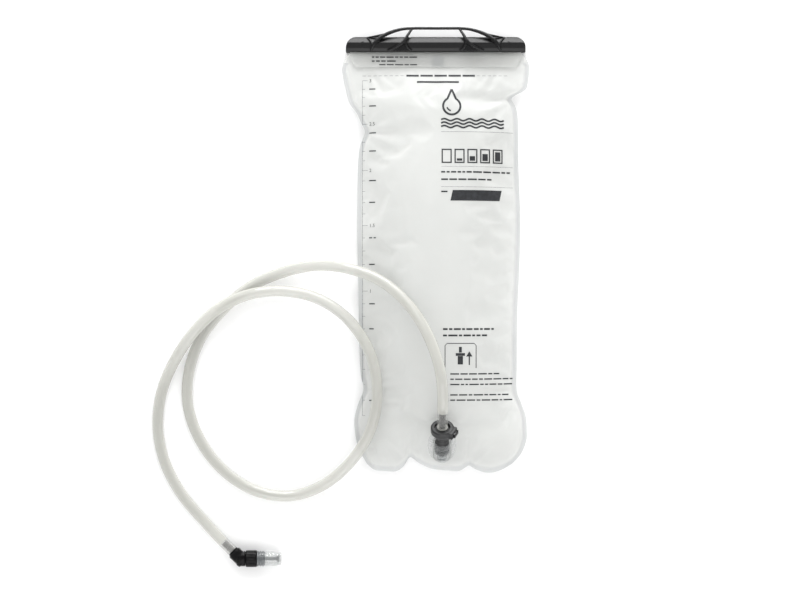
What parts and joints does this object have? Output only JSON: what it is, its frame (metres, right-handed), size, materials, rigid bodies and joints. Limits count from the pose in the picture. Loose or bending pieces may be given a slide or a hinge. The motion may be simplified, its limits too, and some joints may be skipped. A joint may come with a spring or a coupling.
{
  "type": "hydration reservoir",
  "caption": "Translucent film drinking reservoir with a slide-on top closure and carry handle, a plug-in drink tube and an elbow bite valve.",
  "frame": {"origin": "under the middle of the reservoir and its slider, on the surface it lies on, leaving out the drink tube and bite valve", "axes": "+Y along the reservoir towards the carry handle, +Z out of its printed front face, +X across it"},
  "size_m": [0.3611, 0.5167, 0.0686],
  "materials": {
    "film": "frosted translucent film, satin",
    "bead": "soft translucent moulding",
    "webbing": "woven grey webbing",
    "hard_plastic": "fine moulded texture, charcoal",
    "gloss_plastic": "smooth black",
    "port": "frosted translucent moulding",
    "plug": "satin dark grey moulding",
    "seal": "smooth rubber",
    "grey_plastic": "satin grey moulding",
    "spring_steel": "drawn wire",
    "tube": "clear soft tube, glossy",
    "silicone": "clear silicone, glossy"
  },
  "bodies": {
    "reservoir": {"front_panel": "film", "back_panel": "film", "fold_bead": "bead", "mouth_pull_tab": "webbing", "outlet_port": "port", "port_seal": "seal", "poppet_spring": "spring_steel", "poppet_retainer": "grey_plastic"},
    "slider": {"closure_slider": "hard_plastic", "carry_handle": "gloss_plastic"},
    "poppet": {"port_poppet": "grey_plastic"},
    "hose": {"plug_body": "plug", "plug_o_ring": "seal", "plug_collar": "plug", "button_spring": "spring_steel", "drink_tube": "tube"},
    "button": {"release_button": "gloss_plastic"},
    "elbow": {"elbow_body": "gloss_plastic", "elbow_o_ring": "seal"},
    "valve": {"shutoff_sleeve": "gloss_plastic", "valve_ring": "grey_plastic", "valve_stem": "grey_plastic", "bite_valve": "silicone"}
  },
  "joints": [
    {"name": "slider_travel", "type": "slide", "parent": "reservoir", "child": "slider", "axis": [1, 0, 0], "range_m": [0, 0.172]},
    {"name": "plug_pull", "type": "slide", "parent": "reservoir", "child": "hose", "axis": [0, 0.766, 0.6428], "range_m": [0, 0.022]},
    {"name": "poppet_lift", "type": "slide", "parent": "reservoir", "child": "poppet", "axis": [0, 0.766, 0.6428], "range_m": [0, 0.002]},
    {"name": "button_press", "type": "slide", "parent": "hose", "child": "button", "axis": [-0.9063, 0.2717, -0.3237], "range_m": [0, 0.0018], "stiffness_N_per_m": 400},
    {"name": "elbow_swivel", "type": "hinge", "parent": "hose", "child": "elbow", "pos_m": [-0.1945, -0.2873, 0.0083], "axis": [0.7157, -0.6984, 0], "range_deg": [0, 180]},
    {"name": "valve_twist", "type": "hinge", "parent": "elbow", "child": "valve", "pos_m": [-0.18, -0.29498, 0.0083], "axis": [1, 0, 0], "range_deg": [0, 90]}
  ],
  "couplings": [
    {"joint": "poppet_lift", "follows": "plug_pull", "ratio": 0.090909}
  ]
}
